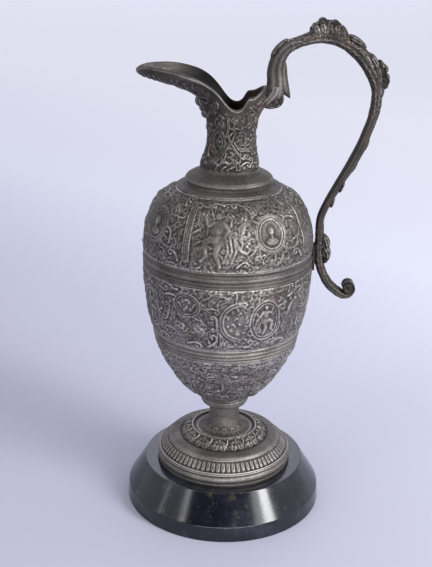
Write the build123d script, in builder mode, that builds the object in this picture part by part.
from build123d import *
import os
from math import cos, hypot, pi, radians, sin, sqrt

# A tall ewer of cast white metal on a turned stone plinth. Millimetres, +Z up. The origin is on
# the axis of the body, at the table. The spout points to -X and the handle stands at +X.

# Wall, joints and fixings
wall = 2.4              # thickness of the castings
solder_gap = 0.05       # room for solder between a ring and the walls it covers
rod_radius = 3.0        # threaded rod on the axis that clamps plinth, foot, stem and bowl
rod_clearance = 0.2
rod_overrun = 1.5       # rod that stands past each nut
nut_across_flats = 10.0
nut_height = 5.0
washer_radius = 9.0
washer_height = 1.4
gasket_radius = 10.5
gasket_height = 1.5
screw_radius = 1.5
screw_head_radius = 2.3
screw_head_height = 1.8
screw_clearance = 0.1
screw_seat_depth = 0.3

# Plinth
plinth_base_radius = 64.0
plinth_band_radius = 63.3
plinth_top_radius = 52.1
plinth_band_height = 9.9
plinth_height = 28.0
plinth_edge = 0.8
recess_radius = 15.0
recess_depth = 12.0
cover_height = 1.2      # leather disc that closes the recess, flush with the underside

# Foot, from the plinth upwards and inwards
foot_seat_radius = 43.6
foot_swell = 0.4        # how far the rounded edge of the foot stands out of its seat
foot_bead_step = 0.6    # how far the bead above the edge stands back from it
tongue_radius = 37.1
torus_radius = 28.5
foot_lip_radius = 21.0
foot_edge_height = 6.2
foot_bead_height = 1.8
tongue_rise = 5.0
torus_rise = 3.3
leaf_rise = 5.4
dish_depth = 1.6
hub_radius = 9.0

# Stem and knop
stem_foot_radius = 15.6
stem_waist_radius = 9.6
stem_top_radius = 9.9
stem_height = 18.1
knop_radius = 15.6
knop_round = 4.6        # radius of the rounding under the knop
knop_height = 10.0

# Body: bowl, drum and shoulder, with a ring over each seam
bowl_foot_radius = 15.4
bowl_top_radius = 45.3
bowl_height = 42.0
bowl_floor = 3.5
lower_ring_step = 1.5   # how much wider the drum is than the bowl, each side
drum_swell = 5.7        # how much the drum widens from its foot to its top, each side
drum_height = 50.8
waist_ring_step = 0.1   # how much wider the shoulder is than the drum, each side
shoulder_mid_step = 2.1
shoulder_turn_step = 9.0
shoulder_height = 43.8
ring_land = 1.25        # depth of the step that a ring sits in
lower_ring_height = 8.6
waist_ring_height = 10.2
ring_bead = 0.6         # how far the middle bead stands out
neck_opening = 14.0     # radius of the way from the neck into the body

# Shoulder ring and cap under the neck
shoulder_top_radius = 31.6
collar_radius = 27.0
collar_height = 6.6
cap_height = 5.0
thin_bead = 1.3
thick_bead = 2.6
bead_edge = 0.6         # how far a bead stands out from the face behind it

# Neck, mouth and spout
neck_foot_radius = 18.2
throat_front = 14.0     # from the axis to the front, back and side of the narrowest ring
throat_back = 15.7
throat_side = 15.2
throat_height = 23.1    # from the foot of the neck to that ring
mouth_height = 61.1     # from the foot of the neck to the highest point of the spout
mouth_half_width = 23.0
mouth_dip = 23.4        # how far the sides of the mouth drop below the spout
spout_reach = 57.0
back_lip_reach = 21.5
handle_step = 12.8      # how far the handle's seat lies below the top of the spout
pad_half_width = 6.0
pad_drop = 13.0
pad_slope = 3.0
outline_steps = 24

# Handle
loop_radius = 30.5
loop_rise = 0.8
loop_set = 3.4          # from the back lip to the left side of the loop
strap_width = 9.0
strap_thickness = 6.8
handle_drop = 104.2     # from the handle's seat to the middle of its rest on the body
saddle_thickness = 1.3
saddle_height = 16.0
curl_reach = 22.2
curl_drop = 22.8
curl_radius = 3.9
curl_overhang = 0.3     # how far the curl is wider than the strap, each side
crest_height = 9.0
crest_length = 18.0
crest_width = 13.0
crest_seat = 1.5        # from the middle of the strap to the flat the crest stands on
crest_shift = 1.2       # from the top of the loop towards the outside of the handle
tuft_height = 12.6      # two rolled leaf ends, one over the other, outside the loop
tuft_width = 9.0
tuft_seat = 1.4
tuft_rise = 6.6
tuft_base = 1.6
leaf_boss_length = 15.5
leaf_boss_width = 11.0
leaf_boss_height = 4.8
leaf_boss_rise = 5.0
leaf_boss_sag = 1.6     # how far the top of the boss lies below its middle
root_roll_radius = 4.7
root_roll_drop = 5.4
root_roll_width = 10.5
leaf_tip_rise = 9.0     # the pointed leaf inside the loop: where it leaves the strap
leaf_tip_drop = 5.2     # and where it ends, from the handle's seat
leaf_tip_reach = 13.7
leaf_tip_width = 7.0
leaf_tip_edge = 1.2
dowel_radius = 1.5
dowel_length = 10.0
mask_height = 11.5
mask_rise = 9.7

# Radii that follow from each other
foot_radius = foot_seat_radius + foot_swell
foot_bead_radius = foot_radius - foot_bead_step
drum_foot_radius = bowl_top_radius + lower_ring_step
drum_top_radius = drum_foot_radius + drum_swell
shoulder_foot_radius = drum_top_radius + waist_ring_step
shoulder_bead_radius = shoulder_top_radius + bead_edge

# Heights of the seams, from the table
z_foot = plinth_height
z_foot_bead = z_foot + foot_edge_height
z_tongue = z_foot_bead + foot_bead_height
z_torus = z_tongue + tongue_rise
z_leaf = z_torus + torus_rise
z_lip = z_leaf + leaf_rise
z_stem = z_lip - dish_depth
z_knop = z_stem + stem_height
z_bowl = z_knop + knop_height
z_seam = z_bowl + bowl_height
z_waist = z_seam + drum_height
z_collar = z_waist + shoulder_height
z_cap = z_collar + collar_height
z_neck = z_cap + cap_height
z_throat = z_neck + throat_height
z_mouth = z_neck + mouth_height
z_seat = z_mouth - handle_step
z_rest = z_seat - handle_drop
bore = rod_radius + rod_clearance


def between(start, end, share):
    """The value at a share of the way from start to end."""
    return start + (end - start) * share


def outline(*runs):
    """A closed outline of (radius, height) runs: 2 points are a line, 3 an arc, more a curve."""
    with BuildSketch(Plane.XZ) as face:
        with BuildLine():
            for run in runs:
                if len(run) == 2:
                    Line(*run)
                elif len(run) == 3:
                    ThreePointArc(*run)
                else:
                    Spline(*run)
        make_face()
    return face.sketch


def inset(points, depth):
    """The points of a curve moved towards the axis, square to the curve."""
    moved = []
    for i, (r, z) in enumerate(points):
        r0, z0 = points[max(i - 1, 0)]
        r1, z1 = points[min(i + 1, len(points) - 1)]
        length = hypot(r1 - r0, z1 - z0)
        moved.append((r - depth * (z1 - z0) / length, z + depth * (r1 - r0) / length))
    return moved


def ring_outline(inner_radius, low, high):
    """A band of three beads between two (radius, height) points, the middle bead the largest."""
    def at(share, out=0.0):
        return (low[0] + (high[0] - low[0]) * share + out, low[1] + (high[1] - low[1]) * share)

    groove = -ring_bead / 3
    return outline(
        [(inner_radius, low[1]), at(0)],
        [at(0), at(0.08, ring_bead / 2), at(0.16)],
        [at(0.16), at(0.18, groove)],
        [at(0.18, groove), at(0.30, groove)],
        [at(0.30, groove), at(0.32)],
        [at(0.32), at(0.50, ring_bead), at(0.68)],
        [at(0.68), at(0.70, groove)],
        [at(0.70, groove), at(0.82, groove)],
        [at(0.82, groove), at(0.84)],
        [at(0.84), at(0.92, ring_bead / 2), at(1)],
        [at(1), (inner_radius, high[1])],
        [(inner_radius, high[1]), (inner_radius, low[1])],
    )


# Plinth: turned and polished stone, hollowed beneath for the nut
with BuildPart() as plinth:
    revolve(
        outline(
            [(bore, recess_depth), (recess_radius, recess_depth)],
            [(recess_radius, recess_depth), (recess_radius, 0)],
            [(recess_radius, 0), (plinth_base_radius - plinth_edge, 0)],
            [(plinth_base_radius - plinth_edge, 0), (plinth_base_radius, plinth_edge)],
            [(plinth_base_radius, plinth_edge), (plinth_band_radius, plinth_band_height)],
            [(plinth_band_radius, plinth_band_height), (plinth_top_radius, plinth_height)],
            [(plinth_top_radius, plinth_height), (bore, plinth_height)],
            [(bore, plinth_height), (bore, recess_depth)],
        ),
        axis=Axis.Z,
    )
plinth.part.label = "plinth"

# Foot: a domed shell with a dished top, and a hub that stands on the plinth
with BuildPart() as foot:
    dish_under = z_stem - wall
    revolve(
        outline(
            [(bore, z_foot), (hub_radius, z_foot)],
            [(hub_radius, z_foot), (hub_radius, dish_under)],
            [(hub_radius, dish_under), (stem_foot_radius, dish_under)],
            [(stem_foot_radius, dish_under), (foot_lip_radius, z_leaf - wall)],
            [(foot_lip_radius, z_leaf - wall), (torus_radius, z_leaf - wall)],
            [(torus_radius, z_leaf - wall), (tongue_radius - wall, z_torus - wall / 2)],
            [(tongue_radius - wall, z_torus - wall / 2), (foot_seat_radius - wall, z_foot_bead)],
            [(foot_seat_radius - wall, z_foot_bead), (foot_seat_radius - wall, z_foot)],
            [(foot_seat_radius - wall, z_foot), (foot_seat_radius, z_foot)],
            [(foot_seat_radius, z_foot), (foot_radius, z_foot + foot_edge_height * 0.45),
             (foot_bead_radius - bead_edge, z_foot_bead)],
            [(foot_bead_radius - bead_edge, z_foot_bead),
             (foot_bead_radius, z_foot_bead + foot_bead_height / 2),
             (foot_bead_radius - bead_edge, z_tongue)],
            [(foot_bead_radius - bead_edge, z_tongue), (tongue_radius, z_torus)],
            [(tongue_radius, z_torus),
             ((torus_radius + tongue_radius) / 2, z_torus + torus_rise * 0.84),
             (torus_radius, z_leaf)],
            [(torus_radius, z_leaf), (foot_lip_radius, z_lip)],
            [(foot_lip_radius, z_lip), (foot_lip_radius - wall / 4, z_lip + wall / 6),
             (foot_lip_radius - wall / 2, z_lip - wall / 4)],
            [(foot_lip_radius - wall / 2, z_lip - wall / 4),
             ((foot_lip_radius + stem_foot_radius) / 2 - wall / 3, z_stem + dish_depth * 0.3),
             (stem_foot_radius + wall / 4, z_stem)],
            [(stem_foot_radius + wall / 4, z_stem), (bore, z_stem)],
            [(bore, z_stem), (bore, z_foot)],
        ),
        axis=Axis.Z,
    )
foot.part.label = "foot"

# Stem: a bored spool that stands in the dish of the foot
with BuildPart() as stem:
    revolve(
        outline(
            [(bore, z_stem), (stem_foot_radius, z_stem)],
            [
                (stem_foot_radius, z_stem),
                (stem_waist_radius + (stem_foot_radius - stem_waist_radius) * 0.35,
                 z_stem + stem_height * 0.17),
                (stem_waist_radius, z_stem + stem_height * 0.55),
                (stem_top_radius, z_knop),
            ],
            [(stem_top_radius, z_knop), (bore, z_knop)],
            [(bore, z_knop), (bore, z_stem)],
        ),
        axis=Axis.Z,
    )
stem.part.label = "stem"

# Knop: the round collar that carries the bowl
with BuildPart() as knop:
    revolve(
        outline(
            [(bore, z_knop), (knop_radius - knop_round, z_knop)],
            [(knop_radius - knop_round, z_knop),
             (knop_radius - knop_round * (1 - sqrt(0.5)), z_knop + knop_round * (1 - sqrt(0.5))),
             (knop_radius, z_knop + knop_round)],
            [(knop_radius, z_knop + knop_round), (bowl_foot_radius, z_bowl)],
            [(bowl_foot_radius, z_bowl), (bore, z_bowl)],
            [(bore, z_bowl), (bore, z_knop)],
        ),
        axis=Axis.Z,
    )
knop.part.label = "knop"

# Bowl: the lower body, with a flat floor inside for the gasket, washer and nut
z_ring_foot = z_seam - lower_ring_height / 2
z_ring_top = z_seam + lower_ring_height / 2
bowl_land = bowl_top_radius - ring_land
bowl_curve = [
    (bowl_foot_radius, z_bowl),
    (between(bowl_foot_radius, bowl_top_radius, 0.378), between(z_bowl, z_ring_foot, 0.16)),
    (between(bowl_foot_radius, bowl_top_radius, 0.783), between(z_bowl, z_ring_foot, 0.64)),
    (bowl_top_radius, z_ring_foot),
]
with BuildPart() as bowl:
    inside = inset(bowl_curve, wall)
    revolve(
        outline(
            [(bore, z_bowl), (bowl_foot_radius, z_bowl)],
            bowl_curve,
            [(bowl_top_radius, z_ring_foot), (bowl_land, z_ring_foot)],
            [(bowl_land, z_ring_foot), (bowl_land, z_seam)],
            [(bowl_land, z_seam), (bowl_top_radius - wall, z_seam)],
            [(bowl_top_radius - wall, z_seam), (bowl_top_radius - wall, z_ring_foot),
             inside[2], inside[1], (gasket_radius + wall, z_bowl + bowl_floor)],
            [(gasket_radius + wall, z_bowl + bowl_floor), (bore, z_bowl + bowl_floor)],
            [(bore, z_bowl + bowl_floor), (bore, z_bowl)],
        ),
        axis=Axis.Z,
    )
bowl.part.label = "lower_bowl"

with BuildPart() as lower_ring:
    revolve(
        ring_outline(
            bowl_land + solder_gap,
            (bowl_top_radius, z_ring_foot),
            (drum_foot_radius, z_ring_top),
        ),
        axis=Axis.Z,
    )
lower_ring.part.label = "lower_ring"

# Drum: the middle of the body
z_waist_foot = z_waist - waist_ring_height / 2
z_waist_top = z_waist + waist_ring_height / 2
z_waist_screw = z_waist + waist_ring_height / 4
waist_head = drum_top_radius - wall + screw_seat_depth
drum_land = drum_top_radius - ring_land
drum_curve = [
    (drum_foot_radius, z_ring_top),
    (drum_foot_radius + drum_swell * 0.39, z_seam + drum_height * 0.26),
    (drum_foot_radius + drum_swell * 0.67, z_seam + drum_height * 0.44),
    (drum_foot_radius + drum_swell * 0.88, z_seam + drum_height * 0.66),
    (drum_top_radius, z_waist_foot),
]
with BuildPart() as drum:
    inside = inset(drum_curve, wall)
    revolve(
        outline(
            [(bowl_land, z_seam), (bowl_land, z_ring_top)],
            [(bowl_land, z_ring_top), (drum_foot_radius, z_ring_top)],
            drum_curve,
            [(drum_top_radius, z_waist_foot), (drum_land, z_waist_foot)],
            [(drum_land, z_waist_foot), (drum_land, z_waist)],
            [(drum_land, z_waist), (drum_top_radius - wall, z_waist)],
            [(drum_top_radius - wall, z_waist), (drum_top_radius - wall, z_waist_foot),
             inside[3], inside[2], inside[1], (bowl_top_radius - wall, z_ring_top)],
            [(bowl_top_radius - wall, z_ring_top), (bowl_top_radius - wall, z_seam)],
            [(bowl_top_radius - wall, z_seam), (bowl_land, z_seam)],
        ),
        axis=Axis.Z,
    )
drum.part.label = "body_drum"

with BuildPart() as waist_ring:
    revolve(
        ring_outline(
            drum_land + solder_gap,
            (drum_top_radius, z_waist_foot),
            (shoulder_foot_radius, z_waist_top),
        ),
        axis=Axis.Z,
    )
    with BuildSketch(Plane.YZ):
        with Locations((0, z_waist_screw)):
            Circle(screw_radius + screw_clearance)
    extrude(amount=drum_top_radius * 2, mode=Mode.SUBTRACT)
waist_ring.part.label = "waist_ring"

# Shoulder: the upper body, closing in to the collar
shoulder_curve = [
    (shoulder_foot_radius, z_waist_top),
    (shoulder_foot_radius - shoulder_mid_step, z_waist + shoulder_height * 0.49),
    (shoulder_foot_radius - shoulder_turn_step, z_waist + shoulder_height * 0.83),
    (shoulder_top_radius, z_collar),
]
with BuildPart() as shoulder:
    inside = inset(shoulder_curve, wall)
    opening = collar_radius - wall
    revolve(
        outline(
            [(drum_land, z_waist), (drum_land, z_waist_top)],
            [(drum_land, z_waist_top), (shoulder_foot_radius, z_waist_top)],
            shoulder_curve,
            [(shoulder_top_radius, z_collar), (opening, z_collar)],
            [(opening, z_collar), (opening, z_collar - wall)],
            [(opening, z_collar - wall), (shoulder_top_radius - wall, z_collar - wall)],
            [(shoulder_top_radius - wall, z_collar - wall), inside[2], inside[1],
             (drum_top_radius - wall, z_waist)],
            [(drum_top_radius - wall, z_waist), (drum_land, z_waist)],
        ),
        axis=Axis.Z,
    )
    with BuildSketch(Plane.YZ):
        with Locations((0, z_waist_screw)):
            Circle(screw_head_radius + screw_clearance)
    extrude(amount=waist_head, mode=Mode.SUBTRACT)
    with BuildSketch(Plane.YZ):
        with Locations((0, z_waist_screw)):
            Circle(screw_radius + screw_clearance)
    extrude(amount=drum_top_radius * 2, mode=Mode.SUBTRACT)
shoulder.part.label = "shoulder"

# Collar: a thin bead, a hollow and a thick bead, with the smooth cap on top
with BuildPart() as collar:
    revolve(
        outline(
            [(opening, z_collar), (shoulder_bead_radius - bead_edge, z_collar)],
            [(shoulder_bead_radius - bead_edge, z_collar),
             (shoulder_bead_radius, z_collar + thin_bead / 2),
             (shoulder_bead_radius - bead_edge, z_collar + thin_bead)],
            [(shoulder_bead_radius - bead_edge, z_collar + thin_bead),
             (collar_radius + thin_bead, z_collar + thin_bead * 2),
             (collar_radius - bead_edge, z_cap - thick_bead)],
            [(collar_radius - bead_edge, z_cap - thick_bead), (collar_radius, z_cap - thick_bead / 2),
             (collar_radius - bead_edge, z_cap)],
            [(collar_radius - bead_edge, z_cap), (opening, z_cap)],
            [(opening, z_cap), (opening, z_collar)],
        ),
        axis=Axis.Z,
    )
collar.part.label = "collar"

with BuildPart() as cap:
    cap_radius = collar_radius - bead_edge
    revolve(
        outline(
            [(opening - wall, z_cap), (cap_radius, z_cap)],
            [(cap_radius, z_cap),
             (neck_foot_radius * 0.36 + cap_radius * 0.64, z_cap + cap_height * 0.58),
             (neck_foot_radius, z_neck)],
            [(neck_foot_radius, z_neck), (neck_opening, z_neck)],
            [(neck_opening, z_neck), (neck_opening, z_neck - wall)],
            [(neck_opening, z_neck - wall),
             (neck_foot_radius, z_cap + cap_height * 0.36),
             (opening - wall, z_cap)],
        ),
        axis=Axis.Z,
    )
cap.part.label = "neck_cap"

# Neck and spout: one casting, round at its foot and drawn out at the top into a long beak
mouth_steps = [
    # shares of the mouth's height, of the spout's reach and of the back lip, and the beak's point
    (0.00, 0.00, 0.00, 0.00),
    (0.20, 0.01, 0.15, 0.00),
    (0.34, 0.045, 0.55, 0.00),
    (0.46, 0.10, 0.85, 0.10),
    (0.57, 0.20, 1.00, 0.20),
    (0.66, 0.38, 1.00, 0.35),
    (0.75, 0.66, 1.00, 0.45),
    (0.85, 0.94, 1.00, 0.50),
    (0.95, 0.99, 1.00, 0.50),
    (1.06, 1.00, 1.00, 0.50),
]


def neck_section(height, front, back, side, point, inwards):
    """An egg-shaped outline at a height: a half ellipse behind, a pointed beak in front."""
    middle = (back - front) / 2
    half_length = (back + front) / 2 - inwards
    edge = []
    for step in range(outline_steps):
        angle = 2 * pi * step / outline_steps
        narrowing = 1 - point * min(0, cos(angle)) ** 2
        edge.append((
            middle + half_length * cos(angle),
            (side - inwards) * sin(angle) * narrowing,
        ))
    with BuildSketch(Plane.XY.offset(height)) as section:
        with BuildLine():
            Spline(*edge, periodic=True)
        make_face()
    return section.sketch


def neck_sections(inwards, rise):
    """The outlines from the foot of the neck to above the mouth, narrowed and raised by a wall."""
    faces = []
    for share in (0, 0.25, 0.62):
        narrow = min(1, share * 1.6)
        faces.append(neck_section(
            z_neck + throat_height * share - (0 if share else rise),
            between(neck_foot_radius, throat_front, narrow),
            between(neck_foot_radius, throat_back, narrow),
            between(neck_foot_radius, throat_side, narrow),
            0,
            inwards,
        ))
    for share, reach, back, point in mouth_steps:
        faces.append(neck_section(
            between(z_throat, z_mouth, share) + (rise if share else 0),
            between(throat_front, spout_reach, reach),
            between(throat_back, back_lip_reach, back),
            between(throat_side, mouth_half_width, min(1, share / 0.85)),
            point,
            inwards,
        ))
    return faces


rim_line = [
    (-spout_reach - wall, z_mouth - mouth_dip * 0.20),
    (-spout_reach * 0.96, z_mouth - mouth_dip * 0.05),
    (-spout_reach * 0.84, z_mouth),
    (-spout_reach * 0.60, z_mouth - mouth_dip * 0.04),
    (-spout_reach * 0.38, z_mouth - mouth_dip * 0.17),
    (-spout_reach * 0.20, z_mouth - mouth_dip * 0.40),
    (-spout_reach * 0.09, z_mouth - mouth_dip * 0.70),
    (0, z_mouth - mouth_dip * 0.96),
    (back_lip_reach * 0.16, z_mouth - mouth_dip),
    (back_lip_reach * 0.40, z_mouth - mouth_dip * 0.84),
    (back_lip_reach * 0.60, z_seat - mouth_dip * 0.16),
    (back_lip_reach * 0.86, z_seat),
]
z_root_screw = z_seat - root_roll_drop
root_head = back_lip_reach - wall * 0.65
with BuildPart() as neck_form:
    loft(sections=neck_sections(0, 0))
with BuildPart() as neck:
    add(neck_form.part)
    with BuildSketch(Plane.XZ):
        with BuildLine():
            Polyline(
                (throat_back - wall, z_seat - pad_drop),
                (back_lip_reach - pad_slope, z_seat - pad_drop),
                (back_lip_reach, z_seat - pad_drop + pad_slope),
                (back_lip_reach, z_seat),
                (throat_back - wall, z_seat),
                close=True,
            )
        make_face()
    extrude(amount=pad_half_width, both=True)
    loft(sections=neck_sections(wall, wall), mode=Mode.SUBTRACT)
    with BuildSketch(Plane.XZ):
        with BuildLine():
            Spline(*rim_line)
            Polyline(
                rim_line[-1],
                (back_lip_reach + spout_reach, z_seat),
                (back_lip_reach + spout_reach, z_mouth * 2),
                (rim_line[0][0] - spout_reach, z_mouth * 2),
                (rim_line[0][0] - spout_reach, rim_line[0][1]),
                rim_line[0],
            )
        make_face()
        with Locations((back_lip_reach + wall, z_seat)):
            Rectangle(wall * 2, throat_height * 2)
    extrude(amount=mouth_half_width * 2, both=True, mode=Mode.SUBTRACT)
    with BuildSketch(Plane.YZ):
        with Locations((0, z_root_screw)):
            Circle(screw_head_radius + screw_clearance)
    extrude(amount=root_head, mode=Mode.SUBTRACT)
    with BuildSketch(Plane.YZ):
        with Locations((0, z_root_screw)):
            Circle(screw_radius + screw_clearance)
    extrude(amount=back_lip_reach + wall, mode=Mode.SUBTRACT)
neck.part.label = "neck_and_spout"

# Mask: three lobes of foliage under the spout, set on the front of the neck
with BuildPart() as mask:
    for up, out, radius in ((0, -0.035, 0.296), (0.33, 0.026, 0.339), (0.68, 0.174, 0.40)):
        middle = (-throat_front - mask_height * out, 0, z_throat + mask_rise + mask_height * up)
        with Locations(middle):
            Sphere(mask_height * radius)
    add(neck_form.part, mode=Mode.SUBTRACT)
mask.part.label = "spout_mask"

# Handle: a strap that rises from the back lip, loops over, runs down to the waist and ends in a curl
z_loop = z_seat + loop_rise
loop_centre = back_lip_reach + loop_set + loop_radius
seat_x = drum_top_radius + ring_bead + saddle_thickness
curl_x = seat_x + curl_reach
z_curl = z_rest - curl_drop + curl_radius * 0.87


def on_loop(angle, out):
    """A point on the loop of the handle: 0 degrees is outermost, 90 is the top. It is set out
    by a share of the strap's thickness."""
    turn = radians(angle)
    reach = loop_radius + out * strap_thickness
    return (loop_centre + reach * cos(turn), z_loop + reach * sin(turn))


def on_run(share, out):
    """A point between the right side of the loop and the rest on the body, set out sideways by a
    share of the strap's thickness."""
    high = on_loop(-18, 0)
    low = (seat_x + strap_thickness * 0.4, z_rest + saddle_height / 2)
    return (
        between(high[0], low[0], share) + out * strap_thickness,
        between(high[1], low[1], share),
    )


rest = strap_thickness * 0.36
root_x = back_lip_reach + root_roll_radius
# point on the middle of the strap, and shares of the strap's thickness and width there
strap_line = [
    ((root_x, z_seat), 1.62, 1.33),
    (on_loop(163, 0.015), 1.38, 1.22),
    (on_loop(147, 0.265), 1.235, 1.17),
    (on_loop(131, 0.31), 0.97, 1.055),
    (on_loop(117, 0.07), 0.85, 1.055),
    (on_loop(104, 0.045), 0.94, 1.11),
    (on_loop(88, -0.045), 1.0, 1.28),
    (on_loop(67, -0.10), 1.03, 1.39),
    (on_loop(46, -0.13), 1.03, 1.39),
    (on_loop(29, -0.06), 1.19, 1.28),
    (on_loop(10, 0.015), 1.15, 1.11),
    (on_loop(-12, 0.06), 1.0, 1.0),
    (on_run(0.12, 0.41), 0.96, 1.0),
    (on_run(0.28, 0.38), 0.96, 1.0),
    (on_run(0.43, 0.06), 0.90, 1.0),
    (on_run(0.57, -0.41), 0.68, 0.95),
    (on_run(0.69, -0.71), 0.70, 0.9),
    (on_run(0.81, -0.79), 0.70, 0.9),
    ((seat_x + rest, z_rest + saddle_height * 0.8), 0.74, 0.9),
    ((seat_x + rest, z_rest), 0.86, 1.0),
    ((seat_x + curl_reach * 0.22, z_rest - curl_drop * 0.40), 0.80, 1.0),
    ((seat_x + curl_reach * 0.42, z_rest - curl_drop * 0.76), 0.82, 1.0),
    ((seat_x + curl_reach * 0.72, z_rest - curl_drop), 0.86, 1.0),
    ((curl_x, z_curl - curl_radius * 1.05), 0.74, 1.0),
    ((curl_x + curl_radius / 2, z_curl - curl_radius / 3), 0.5, 1.0),
]


def strap_sections():
    """An ellipse across the strap at each of its points, square to the line."""
    faces = []
    for i, ((x, z), thickness, width) in enumerate(strap_line):
        x0, z0 = strap_line[max(i - 1, 0)][0]
        x1, z1 = strap_line[min(i + 1, len(strap_line) - 1)][0]
        heading = (x1 - x0, 0, z1 - z0) if i else (0, 0, 1)
        place = Plane(origin=(x, 0, z), x_dir=(0, 1, 0), z_dir=heading)
        with BuildSketch(place) as section:
            Ellipse(strap_width * width / 2, strap_thickness * thickness / 2)
        faces.append(section.sketch)
    return faces


crest_x = loop_centre + crest_shift
crest_z = z_loop + loop_radius + crest_seat
tuft_x = loop_centre + loop_radius + tuft_seat
tuft_z = z_loop + tuft_rise
leaf_x = seat_x + strap_thickness * 0.66
leaf_z = z_rest + leaf_boss_rise
leaf_tip_x = back_lip_reach + leaf_tip_reach
with BuildPart() as handle:
    loft(sections=strap_sections())
    with BuildSketch(Plane.XZ):
        with Locations((curl_x, z_curl)):
            Circle(curl_radius)
    extrude(amount=strap_width / 2 + curl_overhang, both=True)
    with BuildSketch(Plane.XZ):
        with BuildLine():
            Polyline(
                (root_x + strap_thickness * 0.5, z_seat + leaf_tip_rise),
                (leaf_tip_x - leaf_tip_edge, z_seat + leaf_tip_edge),
                (leaf_tip_x, z_seat - leaf_tip_drop),
                (leaf_tip_x - leaf_tip_edge, z_seat - leaf_tip_drop),
                (root_x + root_roll_radius + leaf_tip_edge / 4, z_seat - leaf_tip_drop * 0.75),
                (root_x + root_roll_radius + leaf_tip_edge / 4, z_seat + leaf_tip_edge),
                (root_x + leaf_tip_edge, z_seat + leaf_tip_edge),
                close=True,
            )
        make_face()
    extrude(amount=leaf_tip_width / 2, both=True)
    # flats for the saddle, the crest, the tuft and the leaf boss, and holes for the fixings
    with BuildSketch(Plane.XZ):
        with Locations((seat_x - saddle_height / 2, z_rest)):
            Rectangle(saddle_height, saddle_height)
        with Locations((crest_x, crest_z + crest_height)):
            Rectangle(crest_length, crest_height * 2)
        with Locations((tuft_x + tuft_height / 2, tuft_z)):
            Rectangle(tuft_height, tuft_height)
        with Locations((leaf_x + leaf_boss_length / 2, leaf_z)):
            Rectangle(leaf_boss_length, leaf_boss_length)
    extrude(amount=strap_width * 2, both=True, mode=Mode.SUBTRACT)
    with BuildSketch(Plane.YZ.offset(seat_x)):
        with Locations((0, z_waist_screw)):
            Circle(screw_radius + solder_gap)
    extrude(amount=strap_thickness * 0.6, mode=Mode.SUBTRACT)
    with BuildSketch(Plane.XY.offset(z_seat)):
        with Locations((root_x, 0)):
            Circle(dowel_radius + solder_gap)
    extrude(amount=dowel_length * 0.7, mode=Mode.SUBTRACT)
handle.part.label = "handle"

# Root roll: the scroll under the root of the handle, screwed to the back of the neck
with BuildPart() as root_roll:
    with BuildSketch(Plane.XZ):
        with Locations((root_x, z_root_screw)):
            Circle(root_roll_radius)
        with Locations((root_x, (z_seat + z_root_screw) / 2)):
            Rectangle(root_roll_radius * 2, root_roll_drop)
    extrude(amount=root_roll_width / 2, both=True)
    with BuildSketch(Plane.YZ.offset(back_lip_reach)):
        with Locations((0, z_root_screw)):
            Circle(screw_radius + solder_gap)
    extrude(amount=root_roll_radius * 1.3, mode=Mode.SUBTRACT)
    with BuildSketch(Plane.XY.offset(z_seat)):
        with Locations((root_x, 0)):
            Circle(dowel_radius + solder_gap)
    extrude(amount=-dowel_length * 0.3, mode=Mode.SUBTRACT)
root_roll.part.label = "root_roll"

with BuildPart() as handle_dowel:
    with BuildSketch(Plane.XY.offset(z_seat - dowel_length * 0.3)):
        with Locations((root_x, 0)):
            Circle(dowel_radius)
    extrude(amount=dowel_length)
handle_dowel.part.label = "handle_dowel"

# Saddle: the pad between the waist ring and the handle
with BuildPart() as saddle:
    with BuildSketch(Plane.XY.offset(z_rest - saddle_height / 2)):
        with Locations((seat_x - strap_width / 2, 0)):
            Rectangle(strap_width, strap_width * 0.9)
        Circle(drum_top_radius + ring_bead + solder_gap, mode=Mode.SUBTRACT)
    extrude(amount=saddle_height)
    with BuildSketch(Plane.YZ):
        with Locations((0, z_waist_screw)):
            Circle(screw_radius + screw_clearance)
    extrude(amount=seat_x + strap_width, mode=Mode.SUBTRACT)
saddle.part.label = "saddle"

# Crest: a bunch of leaves with two rolled ends on top of the loop
with BuildPart() as crest:
    with BuildSketch(Plane.XY.offset(crest_z)):
        with Locations((crest_x, 0)):
            Ellipse(crest_length / 2, crest_width / 2)
    extrude(amount=crest_height * 0.6, taper=12)
    for along, up, radius in ((-0.18, 0.60, 0.36), (0.27, 0.41, 0.37)):
        with BuildSketch(Plane.XZ):
            with Locations((crest_x + crest_length * along, crest_z + crest_height * up)):
                Circle(crest_height * radius)
        extrude(amount=crest_width * 0.34, both=True)
crest.part.label = "handle_crest"

# Tuft: two rolled leaf ends, the larger one below, on the outside of the loop
with BuildPart() as tuft:
    with BuildSketch(Plane.XZ):
        with Locations((tuft_x + tuft_base / 2, tuft_z)):
            Rectangle(tuft_base, tuft_height)
        for out, up, radius in ((0.12, 0.21, 0.21), (0.22, -0.21, 0.24)):
            with Locations((tuft_x + tuft_height * out, tuft_z + tuft_height * up)):
                Circle(tuft_height * radius)
        with Locations((tuft_x - tuft_height / 2, tuft_z)):
            Rectangle(tuft_height, tuft_height * 2, mode=Mode.SUBTRACT)
    extrude(amount=tuft_width / 2, both=True)
tuft.part.label = "handle_tuft"

# Leaf boss: the tuft of leaves on the outside of the strap, where it rests on the body
with BuildPart() as leaf_boss:
    with BuildSketch(Plane.YZ.offset(leaf_x)):
        with Locations((0, leaf_z)):
            Ellipse(leaf_boss_width / 2, leaf_boss_length / 2)
    with BuildSketch(Plane.YZ.offset(leaf_x + leaf_boss_height)):
        with Locations((0, leaf_z - leaf_boss_sag)):
            Ellipse(leaf_boss_width / 4, leaf_boss_length / 4)
    loft()
leaf_boss.part.label = "handle_leaf"


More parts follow.
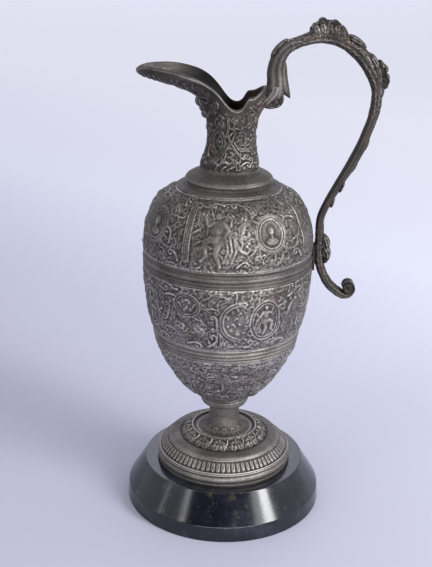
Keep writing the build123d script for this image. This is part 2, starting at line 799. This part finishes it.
def screw(start, height, length):
    """A round-headed screw along +X whose head bears at start."""
    with BuildPart() as made:
        with BuildSketch(Plane.YZ.offset(start - screw_head_height)):
            with Locations((0, height)):
                Circle(screw_head_radius)
        extrude(amount=screw_head_height)
        with BuildSketch(Plane.YZ.offset(start)):
            with Locations((0, height)):
                Circle(screw_radius)
        extrude(amount=length)
    return made.part


root_screw = screw(root_head, z_root_screw, back_lip_reach + root_roll_radius - root_head)
root_screw.label = "root_screw"
waist_screw = screw(waist_head, z_waist_screw, seat_x + strap_thickness * 0.5 - waist_head)
waist_screw.label = "waist_screw"

# Tie rod: one long rod on the axis, with a nut under the plinth and one inside the bowl
z_floor = z_bowl + bowl_floor
z_upper_nut = z_floor + gasket_height + washer_height
z_lower_nut = recess_depth - washer_height - nut_height
with BuildPart() as tie_rod:
    with BuildSketch(Plane.XY.offset(z_lower_nut - rod_overrun)):
        Circle(rod_radius)
    extrude(amount=z_upper_nut + nut_height - z_lower_nut + rod_overrun * 2)
tie_rod.part.label = "tie_rod"


# Cover: the leather disc in the mouth of the recess, between the nut and the table
with BuildPart() as cover:
    with BuildSketch():
        Circle(recess_radius - solder_gap)
    extrude(amount=cover_height)
cover.part.label = "recess_cover"


def disc(label, height, radius, thickness):
    """A washer round the rod, its underside at a height."""
    with BuildPart() as made:
        with BuildSketch(Plane.XY.offset(height)):
            Circle(radius)
            Circle(bore, mode=Mode.SUBTRACT)
        extrude(amount=thickness)
    made.part.label = label
    return made.part


def nut(label, height):
    """A hexagonal nut on the rod, its underside at a height."""
    with BuildPart() as made:
        with BuildSketch(Plane.XY.offset(height)):
            RegularPolygon(nut_across_flats / 2, 6, major_radius=False)
            Circle(rod_radius + solder_gap, mode=Mode.SUBTRACT)
        extrude(amount=nut_height)
    made.part.label = label
    return made.part


pieces = [
    plinth.part, foot.part, stem.part, knop.part, bowl.part, lower_ring.part, drum.part,
    waist_ring.part, shoulder.part, collar.part, cap.part, neck.part, mask.part, handle.part,
    root_roll.part, handle_dowel.part, saddle.part, crest.part, tuft.part, leaf_boss.part,
    root_screw, waist_screw, tie_rod.part,
    nut("lower_nut", z_lower_nut),
    disc("lower_washer", z_lower_nut + nut_height, washer_radius, washer_height),
    cover.part,
    disc("bowl_gasket", z_floor, gasket_radius, gasket_height),
    disc("upper_washer", z_floor + gasket_height, washer_radius, washer_height),
    nut("upper_nut", z_upper_nut),
]
os.makedirs("parts", exist_ok=True)
for piece in pieces:
    export_step(piece, f"parts/{piece.label}.step")
